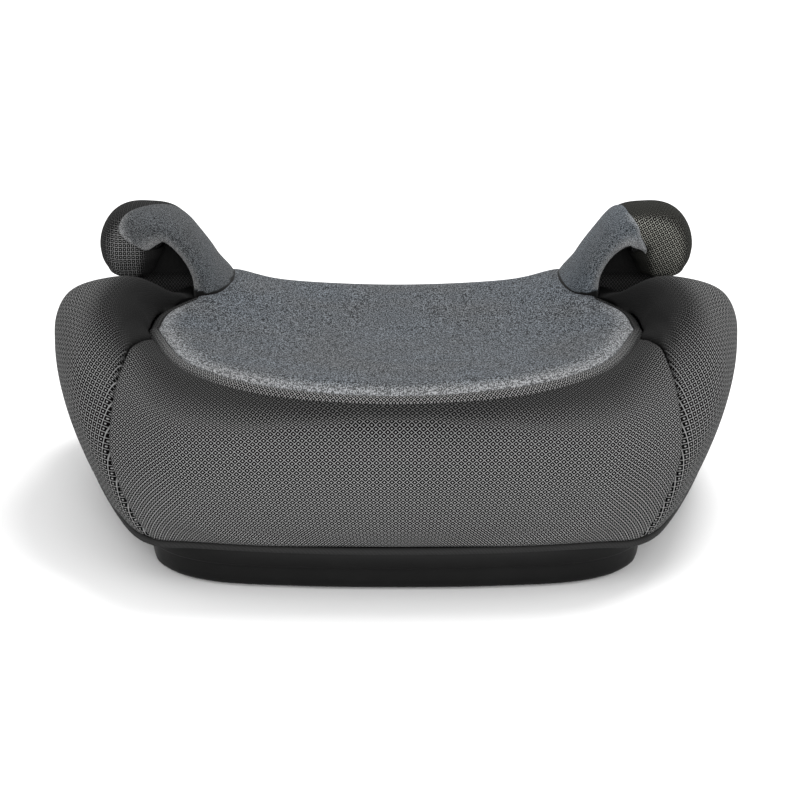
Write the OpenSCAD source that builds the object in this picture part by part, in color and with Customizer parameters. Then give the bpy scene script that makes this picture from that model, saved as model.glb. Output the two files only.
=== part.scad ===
/* [Cover] */
// Width across the two padded wings
body_w = 450; // [430:5:470]
// Depth from the front roll to the back roll
body_d = 355; // [345:5:365]
// Height of the wing crests above the ground
wing_h = 149.5; // [146:0.5:153]
// Thickness of the laminated cover fabric
fabric_t = 2; // [1.6:0.2:2.2]
// Clearance left between two soft layers
layer_gap = 0.4; // [0.3:0.1:0.5]
// How far the seat pad stands above the band around it
pad_rise = 4; // [2:0.5:5]
// Width of the knitted band around the seat pad
band_w = 4.5; // [4:0.5:6]

/* [Horns] */
// Depth of the horns along Y, as a share of the nominal depth
horn_depth = 1; // [0.96:0.01:1.02]
// Thickness of the moulded arm inside a horn
arm_t = 6; // [5:0.5:6.5]
// Length along Y of the moulded arm
arm_l = 34; // [32:1:36]

/* [Base] */
// Height of the black tub that shows below the cover
tub_h = 28; // [26:1:28]
// Wall thickness of the plastic mouldings
wall_t = 3; // [2.5:0.1:3.5]
// Height of the step line on the tub
step_z = 15; // [12:1:18]
// Height that the rubber feet stand proud of the tub
foot_proud = 1.2; // [1:0.1:2]
// Diameter of a rubber foot
foot_d = 24; // [18:1:26]

/* [Screws] */
// Shank diameter of the self-tapping screws
screw_d = 4; // [3.5:0.1:4.2]
// Head diameter of the screws
screw_head_d = 9; // [8:0.5:9]
// Length of a screw below its head
screw_l = 16; // [14:1:18]

/* [Hidden] */

// Nominal size that the section points below are written for
NOMINAL = [450, 355, 149.5];
fit = [body_w / NOMINAL.x, body_d / NOMINAL.y, wing_h / NOMINAL.z];

// Sections of the cover, from the front centre round the right side to the back centre.
// Each runs from the hem, out over the roll or wing, and in to the edge of the seat pad.
SECTIONS = [
    [[0, -161, 28], [0, -171, 46], [0, -177.5, 74], [0, -173, 99],
        [0, -165, 110], [0, -156, 115], [0, -147, 117]],
    [[60, -158.5, 28], [64, -169, 46], [68, -175.5, 74], [70, -170.5, 99.5],
        [72, -159, 110.5], [75, -144, 115.5], [77, -130, 117.5]],
    [[116, -151, 28], [124, -162, 46], [132, -166.5, 74], [134, -158, 101],
        [133, -136, 113], [132, -107, 117], [130, -80, 116.5]],
    [[149, -143, 28], [162, -138, 46], [175, -122, 75], [174, -99, 105],
        [168, -62, 122], [162, -31, 121], [156, -8, 116]],
    [[172, -97, 28], [187, -92, 48], [204, -76, 86], [203, -56, 120],
        [189, -26, 141], [169, -3, 136], [158, 8, 116.5]],
    [[202, 6, 28], [213, 8, 50], [225, 14, 100], [216, 14, 136],
        [187, 14, 149.5], [165, 20, 145], [155.5, 34, 117]],
    [[209, 75, 28], [217, 76, 50], [222, 78, 88], [212, 70, 118],
        [184, 58, 131], [152, 52, 131], [147, 57, 116.5]],
    [[206, 115, 28], [213, 116, 50], [216, 117, 82], [205, 112, 103],
        [176, 98, 114], [140.5, 80, 118.5], [136, 77, 116.5]],
    [[195, 145, 28], [201, 147, 50], [203, 148, 76], [192, 145, 95],
        [168, 134, 105], [143, 117, 112], [119, 118, 115]],
    [[165, 162, 28], [169, 166, 46], [170, 170, 70], [162, 170, 88],
        [150, 168, 100], [132, 163, 108], [116, 158, 114]],
    [[88, 165, 28], [90, 172, 46], [91, 177, 68], [91, 175, 86],
        [88, 171, 97], [84, 166, 103], [80, 160, 106]],
    [[0, 166, 28], [0, 173, 46], [0, 177.5, 68], [0, 176, 85],
        [0, 172, 94], [0, 167, 99.5], [0, 160, 102.5]]
];
HALF = len(SECTIONS) - 1;
ROWS = len(SECTIONS[0]) - 1;
// Section numbers at the seams of the cover
SEAM_FRONT = 3;
SEAM_BACK = 9;
ROOT_FRONT = 7;

// Half outline of the tub at the ground, one point for each section
TUB = [
    [0, -156], [58, -154], [110, -146.5], [140, -126], [152, -92], [159, 0],
    [163, 60], [163, 95], [154, 128], [124, 148], [70, 154], [0, 155]
];
// Stiffening ribs under the tub
rib_pitch = 40;
rib_t = 2.5;
// The tub's upper band is this much wider and deeper than its lower band
tub_flare = 1.02;

// Hook of a horn from root to tip: x and z of its middle line, thickness, front and depth along Y
HOOK = [
    [128, 100, 18, 77, 83], [128.5, 118, 18, 77, 81], [133, 135, 17, 78, 66],
    [143, 151, 17, 79, 58], [155, 162, 22, 80, 56], [168, 161, 32, 81, 56],
    [179, 155, 43, 82, 55], [181, 143, 43, 83, 54], [181, 133, 34, 87, 46]
];
HOOK_END = len(HOOK) - 1;
// Place on the hook where the cover's horn pieces start, just above the seat
HOOK_ROOT = 1;
// Place on the hook where the facing and the lining end and the lobe's skin starts
HOOK_LOBE = 5;
skin_step = (HOOK_LOBE - HOOK_ROOT) / 7;
// The horn's middle line leans in by this much for each millimetre towards the back
horn_skew = -0.1;
// Front face of the panel that closes the slot at the back of a horn
horn_back_y = 126;
// Angles round the horn where its pieces are sewn: 0 is the outer curve, 90 the front
FACING_BACK = -70;
FACING_FRONT = 130;
LINING_BACK = 215;

deck_z = 84;
flange_z = 28.6;
foam_t = 9;
// Depth of the foam's face below the face of the cover
foam_top = fabric_t + 4.5 * layer_gap;
core_share = 0.25;
eps = 0.02;

// ---- Curves and surfaces ----

function catmull(a, b, c, d, t) =
    0.5 * (2 * b + (c - a) * t + (2 * a - 5 * b + 4 * c - d) * t * t
        + (3 * b - a - 3 * c + d) * t * t * t);

function through(points, t) =
    let (last = len(points) - 1, i = max(0, min(floor(t), last - 1)))
    catmull(
        i > 0 ? points[i - 1] : 2 * points[0] - points[1], points[i], points[i + 1],
        i + 2 <= last ? points[i + 2] : 2 * points[last] - points[last - 1], t - i);

function wrap(i) = (i % (2 * HALF) + 2 * HALF) % (2 * HALF);

function scaled(p) = [p.x * fit.x, p.y * fit.y, p.z * fit.z];

function section_point(i, row) =
    let (k = wrap(i), p = scaled(SECTIONS[k <= HALF ? k : 2 * HALF - k][row]))
    k <= HALF ? p : [-p.x, p.y, p.z];

function row_point(u, row) =
    let (i = floor(u))
    catmull(section_point(i - 1, row), section_point(i, row),
        section_point(i + 1, row), section_point(i + 2, row), u - i);

function cover(u, v) = through([for (row = [0:ROWS]) row_point(u, row)], v);

function unit(a) = a / norm(a);

function outward(u, v) =
    let (low = max(v - eps, 0), high = min(v + eps, ROWS))
    unit(cross(cover(u + eps, v) - cover(u - eps, v), cover(u, high) - cover(u, low)));

function layer(u, v, depth) = cover(u, v) - depth * outward(u, v);

function roll_core(u) = (row_point(u, 0) + row_point(u, ROWS)) / 2;

function tub_point(i) =
    let (k = wrap(i), p = TUB[k <= HALF ? k : 2 * HALF - k])
    [(k <= HALF ? p.x : -p.x) * fit.x, p.y * fit.y];

function tub_edge(u) =
    let (i = floor(u))
    catmull(tub_point(i - 1), tub_point(i), tub_point(i + 1), tub_point(i + 2), u - i);

function smooth(t) = let (s = max(0, min(1, t))) s * s * (3 - 2 * s);

// Height of the seat's middle line: a raised front edge, a dish, and a low back
seat_front_z = 117;
seat_back_z = 104.5;
function seat_middle(y) =
    seat_back_z + (seat_front_z - seat_back_z) * smooth((60 - y) / 205);

// Point on the seat inside the band: share 1 is at the cover's edge, 0 at the middle
seat_centre = [0, 12];
function seat_point(u, share, inset, lift) =
    let (
        edge = row_point(u, ROWS), out = unit([edge.x, edge.y] - seat_centre),
        rim = [edge.x, edge.y] - inset * out,
        p = seat_centre + share * (rim - seat_centre),
        z = seat_middle(p.y) + (edge.z - seat_middle(rim.y)) * pow(share, 2.4))
    [p.x, p.y, z + lift];

// ---- Solids from grids of points ----

// Two triangles for each cell between row a and row b of n points
function strip(a, b, n, closed) =
    [for (i = [0:closed ? n - 1 : n - 2]) let (j = (i + 1) % n)
        each [[a + i, b + i, b + j], [a + i, b + j, a + j]]];

// A closed skin between an outer and an inner grid, each a list of equal rows
module slab(outer, inner) {
    n = len(outer[0]);
    m = len(outer);
    inside = n * m;
    polyhedron(
        [for (row = outer) each row, for (row = inner) each row],
        [for (r = [0:m - 2]) each strip(r * n, (r + 1) * n, n, false),
            for (r = [0:m - 2]) for (t = strip(inside + r * n, inside + (r + 1) * n, n, false))
                [t[2], t[1], t[0]],
            each strip(inside, 0, n, false),
            each strip((m - 1) * n, inside + (m - 1) * n, n, false),
            for (r = [0:m - 2]) let (a = r * n, b = (r + 1) * n)
                each [[inside + a, inside + b, b], [inside + a, b, a]],
            for (r = [0:m - 2]) let (a = r * n + n - 1, b = (r + 1) * n + n - 1)
                each [[a, b, inside + b], [a, inside + b, inside + a]]],
        convexity = 6);
}

// A closed solid through rings of points, from a pole under it to a pole on top
module loft(low_pole, rings, high_pole) {
    n = len(rings[0]);
    m = len(rings);
    polyhedron(
        [low_pole, for (ring = rings) each ring, high_pole],
        [for (i = [0:n - 1]) [0, 1 + i, 1 + (i + 1) % n],
            for (r = [0:m - 2]) each strip(1 + r * n, 1 + (r + 1) * n, n, true),
            for (i = [0:n - 1]) let (top = 1 + (m - 1) * n)
                [m * n + 1, top + (i + 1) % n, top + i]],
        convexity = 6);
}

// Part of the cover between two sections, from depth near to depth far below its face
module cover_panel(u0, u1, cells, v0, tops, rows, near, far) {
    function grid(depth) =
        [for (r = [0:rows]) [for (i = [0:cells])
            let (u = u0 + (u1 - u0) * i / cells, top = through(tops, (len(tops) - 1) * i / cells))
            layer(u, v0 + (top - v0) * r / rows, depth)]];
    slab(grid(near), grid(far));
}

// ---- Horn, right-hand side ----

function hook(s) = through(HOOK, s);

// One point round the horn at hook position s, grown by margin, with squareness power
function horn_point(s, angle, margin, power) =
    let (
        h = hook(s), along = unit([for (k = [0, 1]) hook(min(s + eps, HOOK_END))[k]
            - hook(max(s - eps, 0))[k]]),
        out = [-along.y, along.x], depth = h[4] * horn_depth,
        c = cos(angle), n = sin(angle),
        a = (h[2] / 2 + margin) * sign(c) * pow(abs(c), 2 / power),
        b = -(depth / 2 + margin) * sign(n) * pow(abs(n), 2 / power),
        lean = horn_skew * (1 - smooth(s / 2.5)) * b,
        x = h.x + out.x * a + lean, z = h.y + out.y * a)
    [x * fit.x, (h[3] + depth / 2 + b) * fit.y, z];

function horn_ring(s, sides, margin, power) =
    [for (i = [0:sides - 1]) horn_point(s, 360 * i / sides, margin, power)];

// The tip of the lobe closes below the hook's end as on a flattened ball
tip_drop = 8;
function tip_middle() =
    let (h = hook(HOOK_END)) [h.x * fit.x, (h[3] + h[4] * horn_depth / 2) * fit.y, h.y];

function tip_ring(turn, sides, margin) =
    [for (p = horn_ring(HOOK_END, sides, margin, 2.4))
        tip_middle() + (p - tip_middle()) * cos(turn) - [0, 0, (tip_drop + margin) * sin(turn)]];

function tip_pole(margin) = tip_middle() - [0, 0, tip_drop + margin];

module horn_skin(angle0, angle1, cells, s0, s1, rows) {
    function grid(margin) =
        [for (r = [0:rows]) [for (i = [0:cells])
            horn_point(s0 + (s1 - s0) * r / rows, angle0 + (angle1 - angle0) * i / cells,
                margin, 2.4)]];
    slab(grid(0), grid(-fabric_t));
}

module horn_arm() {
    function side(sign) =
        [for (s = [1:0.5:6.5]) let (
            h = hook(s), along = unit([for (k = [0, 1]) hook(s + eps)[k] - hook(s - eps)[k]]))
            [(h.x - sign * along.y * arm_t / 2) * fit.x, h.y + sign * along.x * arm_t / 2]];
    left = side(1);
    right = side(-1);
    foot = [for (k = [1, -1]) [(hook(1).x + k * arm_t / 2) * fit.x, deck_z + 0.1]];
    color("#202022") difference() {
        union() {
            translate([0, arm_y() + arm_l / 2, 0]) rotate([90, 0, 0])
                linear_extrude(arm_l) polygon(concat(left, [for (i = [len(right) - 1:-1:0]) right[i]],
                    [foot[0]], [foot[1]]));
            translate([arm_x() - arm_t / 2, arm_y() - arm_l / 2, deck_z + 0.1])
                cube([arm_foot_w, arm_l + 10, 5]);
            for (p = arm_screw_places())
                translate([p.x, p.y, deck_z + 0.1]) cylinder(h = screw_l + 1, d = 9, $fn = 48);
        }
        for (p = arm_screw_places())
            translate([p.x, p.y, deck_z - 1])
                cylinder(h = screw_l - wall_t + 2, d = screw_d + 0.2, $fn = 32);
    }
}

arm_foot_w = 13;
function arm_x() = hook(1).x * fit.x;
function arm_y() = 113 * fit.y;
function arm_screw_places() = [for (k = [-1, 1]) [arm_x() + 5, arm_y() + 12 * k]];

module horn_foam() {
    inner_rows = [for (s = [6.5:-0.5:1.5]) s, 1.05];
    margin = -fabric_t - 3 * layer_gap;
    function cavity(s) = [for (i = [0:19]) arm_sleeve(s, 18 * i)];
    color("#d8d8d4") loft(arm_sleeve(6.75, undef),
        [for (s = inner_rows) cavity(s),
            for (r = [0:7]) horn_ring(max(1.05, HOOK_ROOT + skin_step * r), 20, margin, 2.4),
            for (s = [5.5, 6.1, 6.6, 7.3, HOOK_END]) horn_ring(s, 20, margin, 2.4),
            tip_ring(45, 20, margin)],
        tip_pole(margin));
}

// Cavity of the horn foam, which clears the flat sides of the moulded arm
function arm_sleeve(s, angle) =
    let (h = hook(s), along = unit([for (k = [0, 1]) hook(s + eps)[k] - hook(s - eps)[k]]),
        c = is_undef(angle) ? 0 : cos(angle), n = is_undef(angle) ? 0 : sin(angle),
        a = (arm_t / 2 + 0.7) * sign(c) * pow(abs(c), 0.25),
        b = -(arm_l / 2 + 2.5) * sign(n) * pow(abs(n), 0.25))
    [(h.x - along.y * a) * fit.x, arm_y() + b, h.y + along.x * a];

// ---- Rigid parts ----

module outline(grow_x, grow_y, points = 66) {
    polygon([for (i = [0:points - 1]) let (p = tub_edge(2 * HALF * i / points))
        [p.x * grow_x, p.y * grow_y]]);
}

function tub_screw_places() =
    [for (x = [-128, 128]) for (y = [-104, 18, 118]) [x * fit.x, y * fit.y]];

module base_tub() {
    inner_x = 1 - 2 * wall_t / 300;
    rib_z = foot_proud + 4;
    color("#1c1c1e") difference() {
        union() {
            difference() {
                union() {
                    translate([0, 0, foot_proud]) linear_extrude(step_z - foot_proud) outline(1, 1);
                    translate([0, 0, step_z]) linear_extrude(tub_h - step_z)
                        outline(tub_flare, tub_flare - 0.008);
                }
                translate([0, 0, foot_proud - 1]) linear_extrude(tub_h - wall_t - foot_proud + 1)
                    outline(inner_x, inner_x);
            }
            intersection() {
                translate([0, 0, rib_z]) linear_extrude(tub_h - rib_z - 1)
                    outline(inner_x + 0.004, inner_x + 0.004);
                union() {
                    for (k = [-3:3]) {
                        translate([k * rib_pitch - rib_t / 2, -body_d / 2, rib_z])
                            cube([rib_t, body_d, tub_h - rib_z - 1]);
                        translate([-body_w / 2, k * rib_pitch - rib_t / 2, rib_z])
                            cube([body_w, rib_t, tub_h - rib_z - 1]);
                    }
                }
            }
            for (p = tub_screw_places())
                translate([p.x, p.y, tub_h - 12]) cylinder(h = 11, d = 15, $fn = 48);
            for (p = foot_places())
                translate([p.x, p.y, foot_proud])
                    cylinder(h = tub_h - foot_proud - 1, d = foot_d + 7, $fn = 48);
        }
        for (p = tub_screw_places()) {
            translate([p.x, p.y, tub_h - 13]) cylinder(h = 14, d = screw_d + 0.6, $fn = 32);
            translate([p.x, p.y, tub_h - 13]) cylinder(h = 6, d = screw_head_d + 1, $fn = 32);
        }
        for (p = foot_places())
            translate([p.x, p.y, foot_proud - 1]) cylinder(h = 3, d = foot_d, $fn = 48);
    }
}

function foot_places() = [for (x = [-106, 106]) for (y = [-122, 126]) [x * fit.x, y * fit.y]];

module rubber_feet() {
    for (p = foot_places())
        color("#101011") translate([p.x, p.y, 0]) cylinder(h = foot_proud + 2, d = foot_d - 0.2, $fn = 48);
}

// A pan-head screw with its head down, head resting at height z
module screw(p, z, length) {
    translate([p.x, p.y, z]) cylinder(h = length, d = screw_d, $fn = 32);
    translate([p.x, p.y, z - 3]) difference() {
        cylinder(h = 3, d = screw_head_d, $fn = 32);
        translate([0, 0, -1]) cylinder(h = 2.6, d = 4, $fn = 6);
    }
}

module tub_screws() {
    for (p = tub_screw_places()) color("#8d9094") screw(p, tub_h - 7, screw_l);
}

module horn_screws() {
    for (k = [1, -1]) for (p = arm_screw_places())
        color("#8d9094") screw([k * p.x, p.y], deck_z - wall_t, screw_l);
}

module wing_box(grow) {
    translate([0, 40 + grow, 0]) rotate([90, 0, 0]) linear_extrude(66 + 2 * grow)
        polygon([[168 - grow, deck_z - 5], [199 + grow, deck_z - 5], [199 + grow, 98],
            [191 + grow / 2, 111 + grow], [178 - grow / 2, 111 + grow], [170 - grow, 98]]);
}

module shell_plan(inset) {
    points = 66;
    polygon([for (i = [0:points - 1]) let (u = 2 * HALF * i / points, p = row_point(u, 0),
        out = unit([p.x, p.y] - [0, 10])) [p.x, p.y] - inset * out]);
}

module seat_shell() {
    color("#2a2a2c") difference() {
        union() {
            difference() {
                translate([0, 0, flange_z]) linear_extrude(deck_z - flange_z) shell_plan(23);
                translate([0, 0, flange_z - 1]) linear_extrude(deck_z - wall_t - flange_z + 1)
                    shell_plan(23 + wall_t);
            }
            difference() {
                translate([0, 0, flange_z]) linear_extrude(wall_t) shell_plan(14);
                translate([0, 0, flange_z - 1]) linear_extrude(wall_t + 2) shell_plan(88);
            }
            for (p = tub_screw_places())
                translate([p.x, p.y, flange_z]) cylinder(h = 16, d = 11, $fn = 48);
            for (side = [0, 1]) mirror([side, 0, 0]) wing_box(0);
        }
        for (side = [0, 1]) mirror([side, 0, 0])
            translate([0, 0, -0.2]) intersection() {
                wing_box(-wall_t);
                translate([140, -60, deck_z - wall_t]) cube([80, 120, 60]);
            }
        for (p = tub_screw_places())
            translate([p.x, p.y, flange_z - 1]) cylinder(h = 14, d = screw_d + 0.2, $fn = 32);
        for (k = [1, -1]) for (p = arm_screw_places())
            translate([k * p.x, p.y, deck_z - 2 * wall_t])
                cylinder(h = 3 * wall_t, d = screw_d + 0.6, $fn = 32);
    }
}

// ---- Foam ----

module seat_foam() {
    count = 33;
    top = pad_rise * 0.5 - foam_top;
    function ring(share, lift) =
        [for (i = [0:count - 1]) seat_point(2 * HALF * i / count, share, band_w + 2, lift)];
    function floor_ring(share) =
        [for (p = ring(share, 0)) [p.x, p.y, deck_z + 0.3]];
    color("#dcdcd8") loft([seat_centre.x, seat_centre.y, deck_z + 0.3],
        [floor_ring(0.6), floor_ring(0.985), ring(0.985, top - 5), ring(0.95, top),
            ring(0.7, top), ring(0.35, top)],
        [seat_centre.x, seat_centre.y, seat_middle(seat_centre.y) + top]);
}

module front_foam() {
    color("#dcdcd8") cover_panel(-SEAM_FRONT + 0.12, SEAM_FRONT - 0.12, 14, 0.08, [5.3, 5.3], 6,
        foam_top, foam_top + foam_t);
}

module wing_foam() {
    cells = 12;
    rows = 7;
    tops = [5.7, 5.7, 5.7, 5.7, 5.2, 4.6, 4.6];
    function near(u, v) = layer(u, v, foam_top);
    function grid(deep) =
        [for (r = [0:rows]) [for (i = [0:cells])
            let (u = SEAM_FRONT + 0.12 + (SEAM_BACK - SEAM_FRONT - 0.24) * i / cells,
                top = through(tops, (len(tops) - 1) * i / cells), v = 0.08 + (top - 0.08) * r / rows)
            deep ? near(u, v) + core_share * (roll_core(u) - cover(u, v)) : near(u, v)]];
    color("#dcdcd8") slab(grid(false), grid(true));
}

module back_foam() {
    color("#dcdcd8") cover_panel(SEAM_BACK + 0.12, 2 * HALF - SEAM_BACK - 0.12, 10, 0.08, [5.3, 5.3], 5,
        foam_top, foam_top + foam_t * 0.7);
}

// ---- Cover ----

module seat_panel() {
    count = 44;
    function ring(share, lift) =
        [for (i = [0:count - 1]) seat_point(2 * HALF * i / count, share, band_w + 2 * layer_gap, lift)];
    low = pad_rise * 0.5 - fabric_t;
    color("#6c7075") loft([seat_centre.x, seat_centre.y, seat_middle(seat_centre.y) + low],
        [ring(0.5, low), ring(0.98, low), ring(1, low + 0.3), ring(1, pad_rise * 0.3),
            ring(0.98, pad_rise * 0.75), ring(0.92, pad_rise), ring(0.6, pad_rise * 0.6),
            ring(0.3, pad_rise * 0.5)],
        [seat_centre.x, seat_centre.y, seat_middle(seat_centre.y) + pad_rise * 0.5]);
}

// The band runs round the front and the sides, from one horn root to the other
module seat_band() {
    cells = 36;
    function row(inset, lift) =
        [for (i = [0:cells]) seat_point(-ROOT_FRONT + 2 * ROOT_FRONT * i / cells, 1, inset, lift)];
    slab_top = [row(layer_gap, 1.2), row(band_w, 1.6)];
    slab_low = [row(layer_gap, 1.2 - fabric_t), row(band_w, 1.6 - fabric_t)];
    color("#333437") slab(slab_top, slab_low);
}

module front_panel() {
    color("#3b3c3f") cover_panel(-SEAM_FRONT + 0.01, SEAM_FRONT - 0.01, 18, 0, [6, 6], 8, 0, fabric_t);
}

module side_panel() {
    color("#303134") cover_panel(SEAM_FRONT + 0.01, SEAM_BACK - 0.01, 18, 0,
        [6, 6, 6, 6, 5, 5, 5], 9, 0, fabric_t);
}

module back_panel() {
    color("#303134") cover_panel(SEAM_BACK + 0.01, 2 * HALF - SEAM_BACK - 0.01, 14, 0, [6, 6], 7,
        0, fabric_t);
}

module horn_facing() {
    color("#75797e") horn_skin(FACING_BACK + 1, FACING_FRONT - 1, 10, HOOK_ROOT, HOOK_LOBE, 7);
}

module slot_lining() {
    color("#1d1d1f") horn_skin(FACING_FRONT + 1, LINING_BACK - 1, 5, HOOK_ROOT, HOOK_LOBE, 7);
}

// The sleeve covers the back of the horn and all of its lobe
module horn_sleeve() {
    color("#333437") {
        horn_skin(LINING_BACK + 1, 360 + FACING_BACK - 1, 4, HOOK_ROOT, HOOK_LOBE, 7);
        lobe_skin();
    }
}

module lobe_skin() {
    sides = 20;
    lobe_places = [HOOK_LOBE + 0.03, 5.5, 6.1, 6.6, 7.3, HOOK_END];
    outer = [for (s = lobe_places) horn_ring(s, sides, 0, 2.4)];
    inner = [for (i = [len(lobe_places) - 1:-1:0]) horn_ring(lobe_places[i], sides, -fabric_t, 2.4)];
    loft(tip_pole(-fabric_t),
        concat([tip_ring(45, sides, -fabric_t)], inner, outer, [tip_ring(45, sides, 0)]),
        tip_pole(0));
}

// Edge of the hook towards its slot, at hook position s on the plane of the horn's back panel
function slot_edge(s) =
    let (
        h = hook(s), along = unit([for (k = [0, 1]) hook(s + eps)[k] - hook(s - eps)[k]]),
        deep = h[4] * horn_depth / 2, off = horn_back_y - h[3] - deep,
        half = h[2] / 2 * pow(1 - pow(abs(off) / deep, 2.4), 1 / 2.4) + layer_gap,
        lean = horn_skew * (1 - smooth(s / 2.5)) * off)
    [(h.x + along.y * half + lean) * fit.x, h.y - along.x * half];

// The back panel closes the rear of the belt slot between the arm, the lobe and the wing
module horn_back() {
    arm_side = [for (s = [1.15:0.25:3.65]) slot_edge(s)];
    lobe_side = [for (p = [[159, 150], [159.5, 144], [161, 137], [162, 131], [166, 126],
        [172, 123.8], [186, 123.8], [192, 121], [195.5, 115], [196.5, 107]]) [p.x * fit.x, p.y]];
    wing_side = [for (p = [[180, 108.5], [163, 111], [148, 113.5], [139.5, 116]])
        [p.x * fit.x, p.y]];
    color("#2e2f32") translate([0, (horn_back_y + fabric_t) * fit.y, 0]) rotate([90, 0, 0])
        linear_extrude(fabric_t) polygon(concat(arm_side, lobe_side, wing_side));
}

// ---- Hem ----

module hem_binding() {
    count = 44;
    function ring(out, z) =
        [for (i = [0:count - 1]) let (u = 2 * HALF * i / count, p = row_point(u, 0),
            d = unit(outward(u, 0.02) - [0, 0, outward(u, 0.02).z])) [p.x + out * d.x, p.y + out * d.y, z]];
    n = count;
    rings = [ring(-1.8, 25.4), ring(0.4, 25.4), ring(0.4, 27.8), ring(-1.8, 27.8)];
    color("#18181a") polyhedron([for (r = rings) each r],
        [for (k = [0:3]) each strip(k * n, ((k + 1) % 4) * n, n, true)], convexity = 4);
}

// Fabric under the overhang of a wing, from the hem to the wall of the tub
module hem_flap() {
    cells = 18;
    function grid(z) =
        [for (share = [0, 1]) [for (i = [0:cells])
            let (u = 3.4 + 5.4 * i / cells, hem = row_point(u, 0), out = outward(u, 0.02),
                d = unit([out.x, out.y]), tub = tub_edge(u) * (tub_flare + 0.012))
            [(1 - share) * tub.x + share * (hem.x - 2.6 * d.x),
                (1 - share) * tub.y + share * (hem.y - 2.6 * d.y), z]]];
    color("#1e1e20") slab(grid(25.4), grid(27.4));
}

module mirrored() { mirror([1, 0, 0]) children(); }

base_tub();
rubber_feet();
tub_screws();
seat_shell();
horn_screws();
horn_arm();  // right_horn_arm
mirrored() horn_arm();  // left_horn_arm
seat_foam();
front_foam();
wing_foam();  // right_wing_foam
mirrored() wing_foam();  // left_wing_foam
back_foam();
horn_foam();  // right_horn_foam
mirrored() horn_foam();  // left_horn_foam
seat_panel();
seat_band();
front_panel();
side_panel();  // right_side_panel
mirrored() side_panel();  // left_side_panel
back_panel();
horn_facing();  // right_horn_facing
mirrored() horn_facing();  // left_horn_facing
horn_sleeve();  // right_horn_sleeve
mirrored() horn_sleeve();  // left_horn_sleeve
slot_lining();  // right_slot_lining
mirrored() slot_lining();  // left_slot_lining
horn_back();  // right_horn_back
mirrored() horn_back();  // left_horn_back
hem_binding();
hem_flap();  // right_hem_flap
mirrored() hem_flap();  // left_hem_flap
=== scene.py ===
"""The looks of the booster seat: its padded cover, seat pad, horns and ribbed tub."""

import math

import bpy
import numpy as np
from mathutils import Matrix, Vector


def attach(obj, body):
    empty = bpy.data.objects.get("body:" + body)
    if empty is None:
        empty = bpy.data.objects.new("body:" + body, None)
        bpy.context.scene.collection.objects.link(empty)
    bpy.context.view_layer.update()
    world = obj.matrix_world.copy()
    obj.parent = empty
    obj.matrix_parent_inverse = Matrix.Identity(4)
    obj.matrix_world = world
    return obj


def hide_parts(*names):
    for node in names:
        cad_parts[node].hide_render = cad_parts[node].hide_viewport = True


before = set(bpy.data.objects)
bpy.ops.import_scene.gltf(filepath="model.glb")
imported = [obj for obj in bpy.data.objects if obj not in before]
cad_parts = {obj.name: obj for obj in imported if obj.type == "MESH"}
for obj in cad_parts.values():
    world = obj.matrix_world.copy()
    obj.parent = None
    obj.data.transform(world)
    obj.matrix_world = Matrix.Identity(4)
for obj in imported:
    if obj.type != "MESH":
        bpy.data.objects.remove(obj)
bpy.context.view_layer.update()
MM = 0.001

# ---- Camera ----

VIEW_ELEVATION = math.radians(18)
VIEW_DISTANCE = 1.6
VIEW_TARGET = Vector((0.0026, 0.0125, 0.066))
VIEW_LENS = 109.4


def make_camera():
    """The camera stands in front of the seat and looks down on it a little."""
    data = bpy.data.cameras.new("camera")
    data.sensor_width = 36
    data.lens = VIEW_LENS
    camera = bpy.data.objects.new("camera", data)
    bpy.context.collection.objects.link(camera)
    back = Vector((0, -math.cos(VIEW_ELEVATION), math.sin(VIEW_ELEVATION)))
    camera.location = VIEW_TARGET + VIEW_DISTANCE * back
    camera.rotation_euler = (math.pi / 2 - VIEW_ELEVATION, 0, 0)
    bpy.context.scene.camera = camera


# ---- The cover's surface, as in the CAD model ----

# Sections from the front centre round the right side to the back centre, in millimetres.
# Each runs from the hem, out over the roll or wing, and in to the edge of the seat pad.
SECTIONS = [
    [[0, -161, 28], [0, -171, 46], [0, -177.5, 74], [0, -173, 99],
        [0, -165, 110], [0, -156, 115], [0, -147, 117]],
    [[60, -158.5, 28], [64, -169, 46], [68, -175.5, 74], [70, -170.5, 99.5],
        [72, -159, 110.5], [75, -144, 115.5], [77, -130, 117.5]],
    [[116, -151, 28], [124, -162, 46], [132, -166.5, 74], [134, -158, 101],
        [133, -136, 113], [132, -107, 117], [130, -80, 116.5]],
    [[149, -143, 28], [162, -138, 46], [175, -122, 75], [174, -99, 105],
        [168, -62, 122], [162, -31, 121], [156, -8, 116]],
    [[172, -97, 28], [187, -92, 48], [204, -76, 86], [203, -56, 120],
        [189, -26, 141], [169, -3, 136], [158, 8, 116.5]],
    [[202, 6, 28], [213, 8, 50], [225, 14, 100], [216, 14, 136],
        [187, 14, 149.5], [165, 20, 145], [155.5, 34, 117]],
    [[209, 75, 28], [217, 76, 50], [222, 78, 88], [212, 70, 118],
        [184, 58, 131], [152, 52, 131], [147, 57, 116.5]],
    [[206, 115, 28], [213, 116, 50], [216, 117, 82], [205, 112, 103],
        [176, 98, 114], [140.5, 80, 118.5], [136, 77, 116.5]],
    [[195, 145, 28], [201, 147, 50], [203, 148, 76], [192, 145, 95],
        [168, 134, 105], [143, 117, 112], [119, 118, 115]],
    [[165, 162, 28], [169, 166, 46], [170, 170, 70], [162, 170, 88],
        [150, 168, 100], [132, 163, 108], [116, 158, 114]],
    [[88, 165, 28], [90, 172, 46], [91, 177, 68], [91, 175, 86],
        [88, 171, 97], [84, 166, 103], [80, 160, 106]],
    [[0, 166, 28], [0, 173, 46], [0, 177.5, 68], [0, 176, 85],
        [0, 172, 94], [0, 167, 99.5], [0, 160, 102.5]],
]
HALF = len(SECTIONS) - 1
ROWS = len(SECTIONS[0]) - 1
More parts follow.
